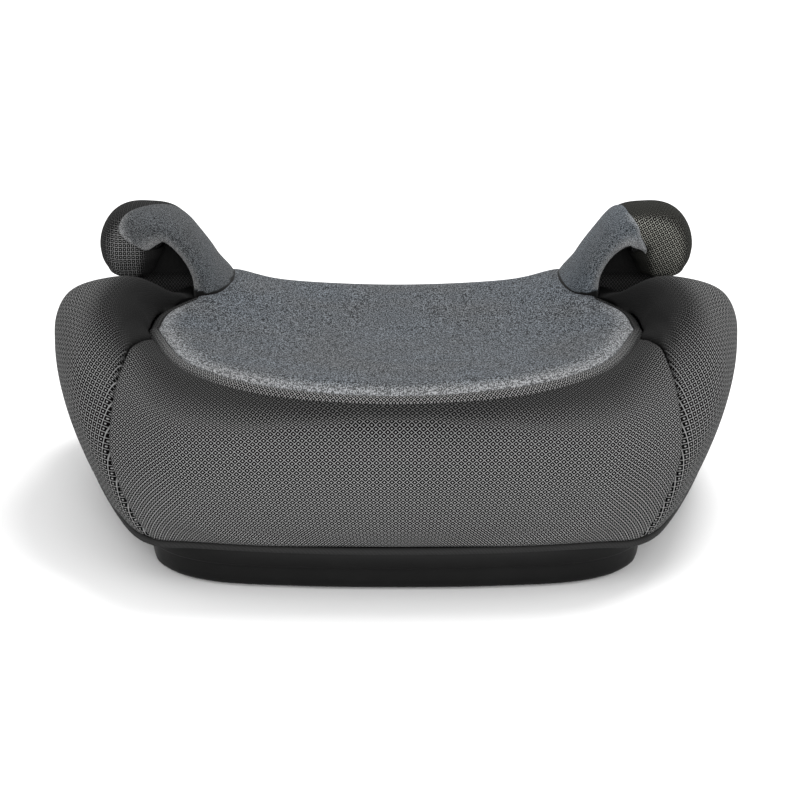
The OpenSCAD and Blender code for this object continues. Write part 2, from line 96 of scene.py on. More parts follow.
# Sections at the two seams of a wing, and where the band ends at the front of the horn's root
SEAM_FRONT = 3
SEAM_BACK = 9
ROOT_FRONT = 7
# Each panel stops this far short of its seam, in sections
SEAM_GAP = 0.004
# How far from its edge a panel is still drawn in by the seam
SEAM_REACH = 7 * MM
# A step along sections or rows that is small enough for a slope
STEP = 0.02
BAND_WIDTH = 4.5 * MM
PAD_RISE = 4 * MM
LAYER_GAP = 0.4 * MM
SEAT_CENTRE = np.array([0, 12 * MM])
SEAT_FRONT_Z = 117 * MM
SEAT_BACK_Z = 104.5 * MM


def ring_of(half):
    """All the sections or outline points round the seat, from those of the right half."""
    half = np.array(half, float) * MM
    mirrored = half[-2:0:-1] * np.array([-1, 1, 1])[: half.shape[-1]]
    return np.concatenate([half, mirrored])


def catmull(points, t):
    """Catmull-Rom curve between the two middle ones of four points."""
    a, b, c, d = points
    return 0.5 * (2 * b + (c - a) * t + (2 * a - 5 * b + 4 * c - d) * t * t
                  + (3 * b - a - 3 * c + d) * t ** 3)


def round_curve(ring, u):
    """Points at places u on a closed curve through the ring's own points."""
    first = np.floor(u).astype(int)
    t = (u - first).reshape(u.shape + (1,) * (ring.ndim - 1))
    return catmull([ring[(first + k) % len(ring)] for k in (-1, 0, 1, 2)], t)


def open_curve(points, t):
    """Points at places t on an open curve; points has its steps along its first axis."""
    ends = [2 * points[:1] - points[1:2], points, 2 * points[-1:] - points[-2:-1]]
    longer = np.concatenate(ends)
    first = np.clip(np.floor(t).astype(int), 0, len(points) - 2)
    step = (t - first).reshape(t.shape + (1,) * (points.ndim - 1))
    return catmull([longer[first + k] for k in (0, 1, 2, 3)], step)


RING = ring_of(SECTIONS)


def cover(u, v):
    """Points of the cover at section places u and row places v, arrays of one shape."""
    rows = np.moveaxis(round_curve(RING, u), -2, 0)
    longer = np.concatenate([2 * rows[:1] - rows[1:2], rows, 2 * rows[-1:] - rows[-2:-1]])
    first = np.clip(np.floor(v).astype(int), 0, ROWS - 1)
    picked = [np.take_along_axis(longer, (first + k)[None, ..., None], 0)[0] for k in range(4)]
    return catmull(picked, (v - first)[..., None])


def unit(a):
    """Vectors of length 1."""
    return a / np.linalg.norm(a, axis=-1, keepdims=True)


def outward(u, v):
    """Unit vectors out of the cover at section places u and row places v."""
    low, high = np.maximum(v - STEP, 0), np.minimum(v + STEP, ROWS)
    return unit(np.cross(cover(u + STEP, v) - cover(u - STEP, v), cover(u, high) - cover(u, low)))


def outward_at_hem(u):
    """Unit vectors level with the floor, out of the cover at its hem."""
    return unit(outward(u, np.full(u.shape, STEP)) * [1, 1, 0])


def smooth(t):
    """0 up to t = 0 and 1 from t = 1, with a soft rise between."""
    t = np.clip(t, 0, 1)
    return t * t * (3 - 2 * t)


def seat_middle(y):
    """Height of the seat's middle line: a raised front edge, a dish and a low back."""
    return SEAT_BACK_Z + (SEAT_FRONT_Z - SEAT_BACK_Z) * smooth((60 * MM - y) / (205 * MM))


def seat_point(u, share, inset, lift):
    """Points of the seat: share 1 is inset from the cover's edge, 0 is the middle."""
    edge = round_curve(RING, u)[..., ROWS, :]
    out = unit(edge[..., :2] - SEAT_CENTRE)
    rim = edge[..., :2] - np.asarray(inset)[..., None] * out
    flat = SEAT_CENTRE + np.asarray(share)[..., None] * (rim - SEAT_CENTRE)
    rise = (edge[..., 2] - seat_middle(rim[..., 1])) * np.abs(share) ** 2.4
    z = seat_middle(flat[..., 1]) + rise + lift
    return np.concatenate([flat, z[..., None]], axis=-1)


# ---- The horns ----

# From root to tip: x and z of the middle line, thickness, front and depth along Y
HOOK = np.array([
    [128, 100, 18, 77, 83], [128.5, 118, 18, 77, 81], [133, 135, 17, 78, 66],
    [143, 151, 17, 79, 58], [155, 162, 22, 80, 56], [168, 161, 32, 81, 56],
    [179, 155, 43, 82, 55], [181, 143, 43, 83, 54], [181, 133, 34, 87, 46],
]) * MM
HOOK_END = len(HOOK) - 1
# How far the root's section is sheared, how square a section is, and how far the tip rounds down
HORN_SKEW = -0.1
HORN_POWER = 2.4
TIP_DROP = 8 * MM


def horn_point(s, degrees, margin):
    """Points round the right horn: 0 degrees is its outer curve, 90 its front, 180 its slot."""
    h = open_curve(HOOK, s)
    ahead = open_curve(HOOK, np.minimum(s + STEP, HOOK_END))
    behind = open_curve(HOOK, np.maximum(s - STEP, 0))
    along = unit((ahead - behind)[..., :2])
    c, n = np.cos(np.radians(degrees)), np.sin(np.radians(degrees))
    power = 2 / HORN_POWER
    a = (h[..., 2] / 2 + margin) * np.sign(c) * np.abs(c) ** power
    b = -(h[..., 4] / 2 + margin) * np.sign(n) * np.abs(n) ** power
    lean = HORN_SKEW * (1 - smooth(s / 2.5)) * b
    return np.stack([h[..., 0] - along[..., 1] * a + lean, h[..., 3] + h[..., 4] / 2 + b,
                     h[..., 1] + along[..., 0] * a], axis=-1)


# ---- Meshes from grids ----


def quads(rows, columns, start, close_columns=False, flip=False):
    """Quads between neighbouring rows of a grid whose first vertex is start."""
    r, c = np.meshgrid(np.arange(rows - 1), np.arange(columns - (not close_columns)), indexing="ij")
    nxt = (c + 1) % columns
    corners = [start + r * columns + c, start + r * columns + nxt,
               start + (r + 1) * columns + nxt, start + (r + 1) * columns + c]
    faces = np.stack([x.ravel() for x in corners], axis=1)
    return faces[:, ::-1] if flip else faces


def closing_quads(rows, columns):
    """Quads from a grid's last ring back to its first."""
    last = (rows - 1) * columns
    around = np.arange(columns)
    nxt = (around + 1) % columns
    return np.stack([last + around, last + nxt, nxt, around], axis=1).tolist()


def grid_shares(columns, rows):
    """Shares from 0 to 1 along the columns and along the rows of a grid."""
    return np.meshgrid(np.linspace(0, 1, columns), np.linspace(0, 1, rows), indexing="ij")


def new_piece(name, points, faces, material, uv=None, painted_shade=None, rim=None):
    """A smooth-shaded mesh object. Per point, uv places the weave in metres, the shade values are
    painted shade that dims its light yarn, and rim is 1 along a folded edge, where a painted highlight
    makes the knit paler, and -1 in a sewn crease, where painted shadow makes it darker."""
    mesh = bpy.data.meshes.new(name)
    mesh.from_pydata([tuple(p) for p in points], [], [tuple(int(i) for i in f) for f in faces])
    mesh.polygons.foreach_set("use_smooth", [True] * len(mesh.polygons))
    if uv is not None:
        corners = np.array([loop.vertex_index for loop in mesh.loops])
        layer = mesh.uv_layers.new(name="Weave")
        layer.data.foreach_set("uv", np.asarray(uv, np.float32)[corners].ravel())
    for label, values in (("Fade", painted_shade), ("EdgeLightAndShade", rim)):
        if values is not None:
            attribute = mesh.attributes.new(label, "FLOAT", "POINT")
            attribute.data.foreach_set("value", np.asarray(values, np.float32))
    mesh.materials.append(material)
    piece = bpy.data.objects.new(name, mesh)
    bpy.context.collection.objects.link(piece)
    mesh.update()
    return piece


def slab(name, outer, inner, material, uv=None, painted_shade=None, rim=None):
    """A closed piece between an outer and an inner grid of points, with walls round its edges."""
    rows, columns = outer.shape[:2]
    count = rows * columns
    faces = [quads(rows, columns, 0), quads(rows, columns, count, flip=True)]
    edge = np.concatenate([
        np.arange(columns), np.arange(1, rows) * columns + columns - 1,
        (rows - 1) * columns + np.arange(columns - 2, -1, -1),
        np.arange(rows - 2, 0, -1) * columns])
    following = np.roll(edge, -1)
    faces.append(np.stack([following, edge, edge + count, following + count], axis=1))
    points = np.concatenate([outer.reshape(-1, 3), inner.reshape(-1, 3)])
    if uv is not None:
        uv = np.tile(uv.reshape(-1, 2), (2, 1))
    painted_shade = None if painted_shade is None else np.tile(painted_shade.ravel(), 2)
    rim = None if rim is None else np.tile(rim.ravel(), 2)
    return new_piece(name, points, np.concatenate(faces), material, uv, painted_shade, rim)


def tube_of_rings(name, rings, material, low_pole=None, high_pole=None, painted_shade=None, rim=None):
    """A piece through closed rings of points, ended by a pole or joined last ring to first."""
    rows, columns = rings.shape[:2]
    points = [rings.reshape(-1, 3)]
    faces = [quads(rows, columns, 0, close_columns=True).tolist()]
    if low_pole is None:
        faces.append(closing_quads(rows, columns))
    else:
        points += [np.array([low_pole]), np.array([high_pole])]
        count, last = rows * columns, (rows - 1) * columns
        faces.append([[count, (i + 1) % columns, i] for i in range(columns)])
        faces.append([[count + 1, last + i, last + (i + 1) % columns] for i in range(columns)])
    return new_piece(name, np.concatenate(points), [f for part in faces for f in part], material,
                     painted_shade=painted_shade, rim=rim)


def arc_lengths(points, axis):
    """Distance along one axis of a grid of points, from its start."""
    steps = np.linalg.norm(np.diff(points, axis=axis), axis=-1)
    zero = np.zeros_like(np.take(steps, [0], axis=axis))
    return np.concatenate([zero, np.cumsum(steps, axis=axis)], axis=axis)


def mirror(piece, name):
    """A copy of a piece for the other side of the seat."""
    other = piece.copy()
    other.data = piece.data.copy()
    other.name = name
    other.data.name = name
    co = np.empty(len(other.data.vertices) * 3, np.float32)
    other.data.vertices.foreach_get("co", co)
    co[0::3] *= -1
    other.data.vertices.foreach_set("co", co)
    other.data.flip_normals()
    bpy.context.collection.objects.link(other)
    return other


def subdivide(piece):
    """One level of subdivision, in the viewport and in the render."""
    modifier = piece.modifiers.new("smooth", "SUBSURF")
    modifier.levels = 1
    modifier.render_levels = 1


# ---- Cloth ----


def swell(piece, held, cap, pressure=4.0, frames=20):
    """Inflate a padded piece as cloth. held is 1 where it is sewn down, and cap limits the swell."""
    scene = bpy.context.scene
    group = piece.vertex_groups.new(name="held")
    for i in np.nonzero(held > 0)[0]:
        group.add([int(i)], float(held[i]), "REPLACE")
    rest = np.empty(len(piece.data.vertices) * 3, np.float32)
    piece.data.vertices.foreach_get("co", rest)
    modifier = piece.modifiers.new("cloth", "CLOTH")
    settings = modifier.settings
    settings.quality = 6
    settings.mass = 0.25
    settings.tension_stiffness = 18
    settings.compression_stiffness = 18
    settings.bending_stiffness = 2.5
    settings.use_pressure = True
    settings.uniform_pressure_force = pressure
    settings.vertex_group_mass = "held"
    settings.effector_weights.gravity = 0
    modifier.point_cache.frame_start = 1
    modifier.point_cache.frame_end = frames
    for step in range(1, frames + 1):
        scene.frame_set(step)
    graph = bpy.context.evaluated_depsgraph_get()
    moved = np.empty_like(rest)
    piece.evaluated_get(graph).data.vertices.foreach_get("co", moved)
    piece.modifiers.remove(modifier)
    piece.vertex_groups.clear()
    scene.frame_set(1)
    shift = (moved - rest).reshape(-1, 3)
    length = np.linalg.norm(shift, axis=1, keepdims=True)
    kept = cap * np.tanh(length / cap) / np.maximum(length, 1e-9)
    piece.data.vertices.foreach_set("co", (rest.reshape(-1, 3) + shift * kept).ravel())
    piece.data.update()


# ---- Materials ----


def add(tree, kind, inputs=None, **settings):
    """A shader node. Its inputs are numbers, colours or other nodes' outputs."""
    node = tree.nodes.new(kind)
    for key, value in settings.items():
        setattr(node, key, value)
    for key, value in (inputs or {}).items():
        if isinstance(value, bpy.types.NodeSocket):
            tree.links.new(value, node.inputs[key])
        else:
            node.inputs[key].default_value = value
    return node


def calc(tree, operation, a, b=0.0, clamp=False):
    """The output of a maths node."""
    node = add(tree, "ShaderNodeMath", {0: a, 1: b}, operation=operation, use_clamp=clamp)
    return node.outputs[0]


def step_up(tree, value, low, high):
    """0 below low and 1 above high, with a soft rise between."""
    node = add(tree, "ShaderNodeMapRange", {"Value": value, "From Min": low, "From Max": high},
               interpolation_type="SMOOTHSTEP")
    return node.outputs["Result"]


def blend_colours(tree, factor, a, b, blend="MIX"):
    """Colour a where factor is 0, and b, or the two blended, where it is 1."""
    node = add(tree, "ShaderNodeMix", {0: factor, 6: a, 7: b}, data_type="RGBA", blend_type=blend)
    return node.outputs[2]


def noise(tree, scale, detail=2.0, roughness=0.5, squash=1.0):
    """Noise in metres. squash below 1 draws its grain out along Y."""
    place = add(tree, "ShaderNodeTexCoord").outputs["Object"]
    if squash != 1.0:
        drawn = add(tree, "ShaderNodeVectorMath", {0: place, 1: (1, squash, 1)}, operation="MULTIPLY")
        place = drawn.outputs["Vector"]
    node = add(tree, "ShaderNodeTexNoise", {"Vector": place, "Scale": scale, "Detail": detail,
                                            "Roughness": roughness})
    return node.outputs["Fac"]


def bump(tree, shader, height, distance, strength=1.0):
    """Relief from a height of 0 to 1, distance deep in metres."""
    node = add(tree, "ShaderNodeBump", {"Height": height, "Distance": distance, "Strength": strength})
    tree.links.new(node.outputs["Normal"], shader.inputs["Normal"])


def grey(level, tint=(1, 1, 1)):
    """A colour of one level, with red, green and blue scaled by tint."""
    return (level * tint[0], level * tint[1], level * tint[2], 1)


def new_material(name, roughness, specular=0.5):
    """A material with its node tree and shader."""
    material = bpy.data.materials.new(name)
    material.use_nodes = True
    shader = material.node_tree.nodes["Principled BSDF"]
    shader.inputs["Roughness"].default_value = roughness
    shader.inputs["Specular IOR Level"].default_value = specular
    return material, material.node_tree, shader


LATTICE_PITCH = 2.9 * MM


def jacquard(name, angles, line=0.27, ring=0.0005, middle=0.30, pitch=LATTICE_PITCH, tint=(1, 1, 1)):
    """Jacquard with a lattice of light yarn and a light dot in each dark cell."""
    material, tree, shader = new_material(name, 0.9, 0.06)
    place = add(tree, "ShaderNodeUVMap", uv_map="Weave").outputs["UV"]
    away = []
    for angle in angles:
        across = (math.cos(math.radians(angle)) / pitch, math.sin(math.radians(angle)) / pitch, 0)
        run = add(tree, "ShaderNodeVectorMath", {0: place, 1: across}, operation="DOT_PRODUCT")
        cell = calc(tree, "FRACT", run.outputs["Value"])
        away.append(calc(tree, "ABSOLUTE", calc(tree, "SUBTRACT", cell, 0.5)))
    lines = step_up(tree, calc(tree, "MAXIMUM", away[0], away[1]), 0.40, 0.47)
    squares = calc(tree, "ADD", calc(tree, "POWER", away[0], 2.0), calc(tree, "POWER", away[1], 2.0))
    dot = calc(tree, "SUBTRACT", 1.0, step_up(tree, calc(tree, "SQRT", squares), 0.10, 0.20))
    yarn = step_up(tree, noise(tree, 1500, 2), 0.3, 0.7)
    wear = step_up(tree, noise(tree, 9, 3), 0.3, 0.75)
    # Painted shade: the per-point shade attribute dims the light yarn, and where it is strongest the
    # cells turn to one even dark ground
    painted_shade = add(tree, "ShaderNodeAttribute", attribute_name="Fade").outputs["Fac"]
    unshaded = calc(tree, "SUBTRACT", 1.0, painted_shade)
    shade = blend_colours(tree, dot, grey(ring, tint), grey(middle, tint))
    shade = blend_colours(tree, lines, shade, grey(line, tint))
    ground = blend_colours(tree, step_up(tree, painted_shade, 0.6, 0.95), grey(ring, tint), grey(0.012, tint))
    shade = blend_colours(tree, unshaded, ground, shade)
    shade = blend_colours(tree, calc(tree, "MULTIPLY", yarn, 0.35), shade, grey(0.6), "MULTIPLY")
    shade = blend_colours(tree, calc(tree, "MULTIPLY", wear, 0.25), shade, grey(0.75), "MULTIPLY")
    tree.links.new(shade, shader.inputs["Base Color"])
    relief = calc(tree, "ADD", calc(tree, "MAXIMUM", lines, calc(tree, "MULTIPLY", dot, 0.6)),
                  calc(tree, "MULTIPLY", yarn, 0.25))
    bump(tree, shader, relief, 0.35 * MM, 0.7)
    return material


def melange(name, pale=0.165, tint=(0.90, 1.0, 1.12), scale=2000, squash=1.0):
    """Grey melange knit: near-black ground with pale salt-and-pepper fibres."""
    material, tree, shader = new_material(name, 0.95, 0.05)
    shader.inputs["Sheen Weight"].default_value = 0.05
    shader.inputs["Sheen Roughness"].default_value = 0.4
    fibres = noise(tree, scale, 1.5, 0.6, squash)
    fine = noise(tree, scale * 2.3, 1.0, 0.5, squash)
    mixed = calc(tree, "ADD", calc(tree, "MULTIPLY", fibres, 0.7), calc(tree, "MULTIPLY", fine, 0.3))
    patches = step_up(tree, noise(tree, 16, 3), 0.3, 0.7)
    faint_tint = [(1 + part) / 2 for part in tint]
    bright = blend_colours(tree, patches, grey(pale * 1.08, tint), grey(pale, faint_tint))
    speckle = step_up(tree, mixed, 0.44, 0.60)
    shade = blend_colours(tree, speckle, grey(0.010, tint), bright)
    # Painted light from the rim attribute: above 0 it paints a pale highlight along a folded edge, below
    # 0 it paints a dark shadow in a sewn crease
    rim = add(tree, "ShaderNodeAttribute", attribute_name="EdgeLightAndShade").outputs["Fac"]
    crease = calc(tree, "MULTIPLY", rim, -0.85, clamp=True)
    shade = blend_colours(tree, crease, shade, grey(0.006))
    lit = calc(tree, "ADD", calc(tree, "MULTIPLY", speckle, 0.3), 0.08)
    edge_highlight = calc(tree, "MULTIPLY", rim, lit, clamp=True)
    tree.links.new(blend_colours(tree, edge_highlight, shade, grey(0.55)), shader.inputs["Base Color"])
    bump(tree, shader, mixed, 0.2 * MM, 0.35)
    return material


def plain_cloth(name, level, scale, roughness=0.8):
    """Plain dark tape or lining with a fine rib."""
    material, tree, shader = new_material(name, roughness, 0.2)
    place = add(tree, "ShaderNodeTexCoord").outputs["Object"]
    ribs = add(tree, "ShaderNodeTexWave", {"Vector": place, "Scale": scale, "Distortion": 1.5,
                                           "Detail": 1.0}, bands_direction="DIAGONAL")
    grain = noise(tree, 1600, 2)
    shade = blend_colours(tree, ribs.outputs["Fac"], grey(level), grey(level * 2.2))
    tree.links.new(blend_colours(tree, grain, shade, grey(level * 1.4)), shader.inputs["Base Color"])
    bump(tree, shader, calc(tree, "ADD", ribs.outputs["Fac"], grain), 0.25 * MM, 0.5)
    return material


def moulded(name, level, roughness, grain_scale=2200, grain=0.06):
    """Satin moulded plastic or rubber with a fine spark-eroded grain."""
    material, tree, shader = new_material(name, roughness, 0.13)
    texture = noise(tree, grain_scale, 3)
    scuffs = step_up(tree, noise(tree, 35, 4, 0.65), 0.45, 0.8)
    tree.links.new(blend_colours(tree, scuffs, grey(level), grey(level * 1.35)),
                   shader.inputs["Base Color"])
    rough = calc(tree, "ADD", calc(tree, "MULTIPLY", scuffs, 0.12), roughness - 0.04)
    tree.links.new(rough, shader.inputs["Roughness"])
    bump(tree, shader, texture, 0.1 * MM, grain * 10)
    return material


def steel(name):
    """Bright steel with a faintly uneven polish."""
    material, tree, shader = new_material(name, 0.3)
    shader.inputs["Metallic"].default_value = 1.0
    brushed = noise(tree, 900, 4, 0.7)
    tree.links.new(blend_colours(tree, brushed, grey(0.42), grey(0.62)), shader.inputs["Base Color"])
    tree.links.new(calc(tree, "ADD", calc(tree, "MULTIPLY", brushed, 0.25), 0.2),
                   shader.inputs["Roughness"])
    bump(tree, shader, brushed, 0.05 * MM, 0.4)
    return material


def studio_floor(name):
    """Pale matt paper sweep with a very faint tone."""
    material, tree, shader = new_material(name, 1.0, 0.0)
    tone = noise(tree, 3, 2)
    tree.links.new(blend_colours(tree, tone, grey(0.95), grey(0.97)), shader.inputs["Base Color"])
    return material


FRONT_WEAVE = jacquard("front_jacquard", (49, -49))
SIDE_WEAVE = jacquard("side_jacquard", (12, 102), line=0.25, middle=0.26, pitch=3.5 * MM)
# Apart from the angles of their lattices, the right lobe's weave is a lighter, warmer copy of the
# left's: painted light, for the light falls differently on the two lobes
LOBE_WEAVE_LEFT = jacquard("left_lobe_jacquard_shaded", (0, 90), line=0.26, middle=0.26, pitch=2.8 * MM)
LOBE_WEAVE_RIGHT = jacquard("right_lobe_jacquard_lit", (28, 118), line=0.28, middle=0.28, pitch=2.8 * MM,
                            tint=(1.03, 1.03, 0.92))
BAND_WEAVE = jacquard("band_jacquard", (45, -45), line=0.3, pitch=2.8 * MM)
REAR_WEAVE = jacquard("slot_jacquard", (38, -38), line=0.1, middle=0.08, pitch=1.8 * MM)
LINING = jacquard("lining_jacquard", (40, -40), line=0.06, ring=0.003, middle=0.025)
SEAT_MELANGE = melange("seat_melange", pale=0.16, tint=(0.90, 1.0, 1.12), scale=1150, squash=0.5)
# The two horns' melange is one cloth: the left copy is darker as painted shade, and the right copy paler
# and bluer as painted light, for the light falls differently on them
HORN_MELANGE = {
    "left": melange("left_horn_melange_shaded", pale=0.135, tint=(0.92, 1.0, 1.08)),
    "right": melange("right_horn_melange_lit", pale=0.175, tint=(0.88, 1.0, 1.13)),
}
TAPE = plain_cloth("binding_tape", 0.010, 260)
UNDER_CLOTH = plain_cloth("under_cloth", 0.014, 320)
TUB_PLASTIC = moulded("tub_plastic", 0.003, 0.5)
SHELL_PLASTIC = moulded("shell_plastic", 0.02, 0.5)
RUBBER = moulded("foot_rubber", 0.012, 0.8, 1200, 0.1)
STEEL = steel("screw_steel")
FLOOR = studio_floor("floor")

# ---- Cover panels ----


# Depths of a panel's seams in millimetres, at its first and last section, hem and top edge
SEAM_DIPS = (2.2, 2.2, 1.0, 1.2)


def panel(name, u0, u1, tops, columns, rows, material, crown, thickness=9 * MM,
          shade_map=None, stretch=None, rise=None):
    """A padded cover panel between sections u0 and u1. tops are the rows that its top edge follows,
    and crown is how far the cloth may swell. The shade function gives painted shade that dims the
    light yarn. stretch and rise say how much the weave is pulled from section to section, and up each
    section."""
    share_u, share_v = grid_shares(columns, rows)
    u = u0 + (u1 - u0) * share_u
    top = open_curve(np.array(tops, float), (len(tops) - 1) * share_u)
    v = top * share_v
    face, normal = cover(u, v), outward(u, v)
    across, up = arc_lengths(face, 0), arc_lengths(face, 1)
    full_across, full_up = across[-1:, :], up[:, -1:]
    start_dip, end_dip, hem_dip, top_dip = SEAM_DIPS

    def groove(distance, depth):
        return depth * MM * (1 - np.sin(np.pi / 2 * np.clip(distance / SEAM_REACH, 0, 1)))

    depth = np.maximum.reduce([
        groove(across, start_dip), groove(full_across - across, end_dip),
        groove(up, hem_dip), groove(full_up - up, top_dip)])
    outer = face - depth[..., None] * normal
    inner = face - (thickness + 2 * MM) * normal
    run = across[:, rows // 3]
    if stretch is not None:
        run = np.append(0, np.cumsum(np.diff(run) / stretch(u[1:, 0])))
    climb = up
    if rise is not None:
        steps = np.diff(up, axis=1) / rise(v[:, 1:])
        climb = np.concatenate([up[:, :1], np.cumsum(steps, axis=1)], axis=1)
    weave = np.stack([np.broadcast_to(run[:, None], up.shape), climb], axis=-1)
    weave = weave - [run[columns // 2], 0]
    # Painted shade that dims the light yarn, from the panel's shade function
    painted_shade = np.zeros_like(u) if shade_map is None else shade_map(u, v)
    piece = slab(name, outer, inner, material, weave, painted_shade)
    border = np.zeros(u.shape)
    border[[0, -1], :] = 1
    border[:, [0, -1]] = 1
    swell(piece, np.concatenate([border.ravel(), np.ones(u.size)]), crown)
    subdivide(piece)
    return piece


def wing_top_shade(u, v):
    """Painted shade on the wing's top by the seat, which dims its light yarn, most of all in front."""
    start = 3.0 + 0.5 * smooth((u - SEAM_FRONT - 0.6) / 1.4)
    return 0.97 * smooth((v - start) / 1.6)


def pull_wing(u):
    """The cloth is pulled round the wing's front corner and eases towards the back."""
    return 1.35 + 0.5 * smooth((u - 3.4) / 1.2) - 0.85 * smooth((u - 5.2) / 1.5)


def pull_front(u):
    """The cloth is pulled round the front's two corners."""
    return 1 + 0.6 * smooth((np.abs(u) - 1.8) / 1.0)


def pull_over_front(v):
    """The cloth is pulled over the top of the front roll."""
    return 1 + 0.7 * smooth((v - 3.0) / 1.6)


def front_top_shade(_, v):
    """Painted shade that dims the light yarn towards the top of the front roll."""
    return 0.7 * smooth((v - 2.6) / 2.6)


def make_cover():
    """The padded rolls and wings round the seat."""
    front = panel("front_roll", -SEAM_FRONT + SEAM_GAP, SEAM_FRONT - SEAM_GAP, [6, 6], 88, 34,
                  FRONT_WEAVE, 2.2 * MM, shade_map=front_top_shade, stretch=pull_front, rise=pull_over_front)
    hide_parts("front_panel", "front_foam")
    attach(front, "root")
    side = panel("right_wing", SEAM_FRONT + SEAM_GAP, SEAM_BACK - SEAM_GAP,
                 [6, 6, 6, 6, 5.4, 5.3, 5.3], 96, 40, SIDE_WEAVE, 2.0 * MM,
                 shade_map=wing_top_shade, stretch=pull_wing)
    other = mirror(side, "left_wing")
    for piece, label in ((side, "right"), (other, "left")):
        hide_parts(f"{label}_side_panel", f"{label}_wing_foam")
        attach(piece, "root")
    back = panel("back_roll", SEAM_BACK + SEAM_GAP, 2 * HALF - SEAM_BACK - SEAM_GAP, [6, 6], 64, 26,
                 FRONT_WEAVE, 1.6 * MM, thickness=7 * MM)
    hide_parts("back_panel", "back_foam")
    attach(back, "root")


# ---- Seat pad and its band ----


def make_seat_pad():
    """The crowned pad inside the band, tucked in under the horns."""
    count = 176
    u = 2 * HALF * np.arange(count) / count
    away = np.minimum(u, 2 * HALF - u)
    beside_band = BAND_WIDTH + 2 * LAYER_GAP
    under_horn = -1 * MM
    at_back = 0.4 * MM
    inset = (beside_band + (under_horn - beside_band) * smooth((away - 6.7) / 0.6)
             + (at_back - under_horn) * smooth((away - 8.9) / 0.7))

    def ring(share, lift):
        return seat_point(u, np.full(count, share), inset, lift)

    low = -6 * MM
    # Share of the way out from the middle, and height over the seat's surface
    profile = [(0.35, low), (0.7, low), (0.94, low), (0.985, low + 1 * MM), (1.0, low + 4 * MM),
               (1.004, 1.0 * MM), (1.0, 2.0 * MM), (0.992, 3.0 * MM), (0.98, 3.7 * MM),
               (0.962, 4.2 * MM), (0.94, 4.4 * MM), (0.91, 4.4 * MM), (0.87, 4.2 * MM)]
    profile += [(share, PAD_RISE * (0.5 + 0.55 * share ** 2))
                for share in np.linspace(0.82, 0.06, 20)]
    rings = np.stack([ring(share, lift) for share, lift in profile])
    share_of = np.array([share for share, _ in profile])
    # A painted highlight along the pad's rounded front edge, where it turns to the light
    front_edge_highlight = smooth((share_of - 0.90) / 0.10)[:, None] * smooth((6.5 - away) / 1.5)[None, :]
    middle = np.append(SEAT_CENTRE, seat_middle(SEAT_CENTRE[1]))
    pad = tube_of_rings("seat_pad", rings, SEAT_MELANGE, low_pole=middle + [0, 0, low],
                        high_pole=middle + [0, 0, PAD_RISE * 0.5],
                        rim=np.append(front_edge_highlight.ravel(), [0, 0]))
    held = np.zeros((len(profile), count))
    held[:7] = 1
    swell(pad, np.append(held.ravel(), [1, 0]), 1.2 * MM, pressure=2.0)
    subdivide(pad)
    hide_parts("seat_panel", "seat_foam")
    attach(pad, "root")


def make_seat_band():
    """The knitted band round the front and sides of the pad, a soft half-round strip."""
    count = 260
    u = np.linspace(-ROOT_FRONT, ROOT_FRONT, count)
    # Distance in from the cover's edge, and height over it, in millimetres
    lanes = [(-1.6, -2.6), (-1.2, -0.6), (-0.2, 1.0), (1.2, 2.0), (2.6, 2.3), (3.8, 2.1), (4.6, 1.3),
             (4.9, 0.2)]
    outer = np.stack([seat_point(u, np.ones(count), inset * MM, lift * MM)
                      for inset, lift in lanes], axis=1)
    inner = outer - [0, 0, 3 * MM]
    run = arc_lengths(outer, 0)[:, 3]
    width = arc_lengths(outer, 1)[count // 2]
    weave = np.stack(np.broadcast_arrays(run[:, None], width[None, :]), axis=-1)
    # Painted shade: the band's light yarn is dimmed towards its two ends, beside the wings
    band = slab("seat_band_knit", outer, inner, BAND_WEAVE, weave,
                np.broadcast_to(0.8 * smooth((np.abs(u) - 2.2) / 1.6)[:, None], outer.shape[:2]))
    subdivide(band)
    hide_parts("seat_band")
    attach(band, "root")


# ---- Horns ----

# How far up the hook the facing reaches at each angle round the horn, on each side
FACING_ANGLES = [-75, -50, -20, -5, 10, 35, 60, 95, 112, 130]
FACING_REACH = {
    "left": [2.4, 3.0, 3.6, 4.15, 4.7, 5.55, 5.95, 6.1, 5.8, 5.2],
    "right": [3.2, 3.7, 4.05, 4.15, 4.2, 4.25, 4.4, 4.75, 5.2, 5.9],
}
# Y of the rear panels' inner face, in millimetres
HORN_BACK_Y = 126
# Extra padding under the right hook
RIGHT_PADDING = 6 * MM
# Where the lining begins and ends round the horn, in degrees
SLOT_START = 122
SLOT_END = 222


def side_of(points, label):
    """The points of the right side, or their mirror image for the left."""
    return points * ([-1, 1, 1] if label == "left" else [1, 1, 1])


def lattice_uv(piece):
    """Weave coordinates from the flat view that each face turns to most."""
    mesh = piece.data
    layer = mesh.uv_layers.new(name="Weave")
    co = np.empty(len(mesh.vertices) * 3, np.float32)
    mesh.vertices.foreach_get("co", co)
    co = co.reshape(-1, 3)
    for face in mesh.polygons:
        main = int(np.argmax(np.abs(face.normal) * [1, 1.35, 1]))
        kept = [k for k in range(3) if k != main]
        for loop in face.loop_indices:
            layer.data[loop].uv = co[mesh.loops[loop].vertex_index][kept]


def tip_rings(sides, margin):
    """Rings that round off the tip of the hook, and its lowest point."""
    rim = horn_point(np.full(len(sides), float(HOOK_END)), sides, margin)
    h = HOOK[HOOK_END]
    middle = np.array([h[0], h[3] + h[4] / 2, h[1]])
    turns = np.radians([18, 36, 54, 70, 82])
    rings = [middle + (rim - middle) * math.cos(t) - [0, 0, (TIP_DROP + margin) * math.sin(t)]
             for t in turns]
    return rings, middle - [0, 0, TIP_DROP + margin]


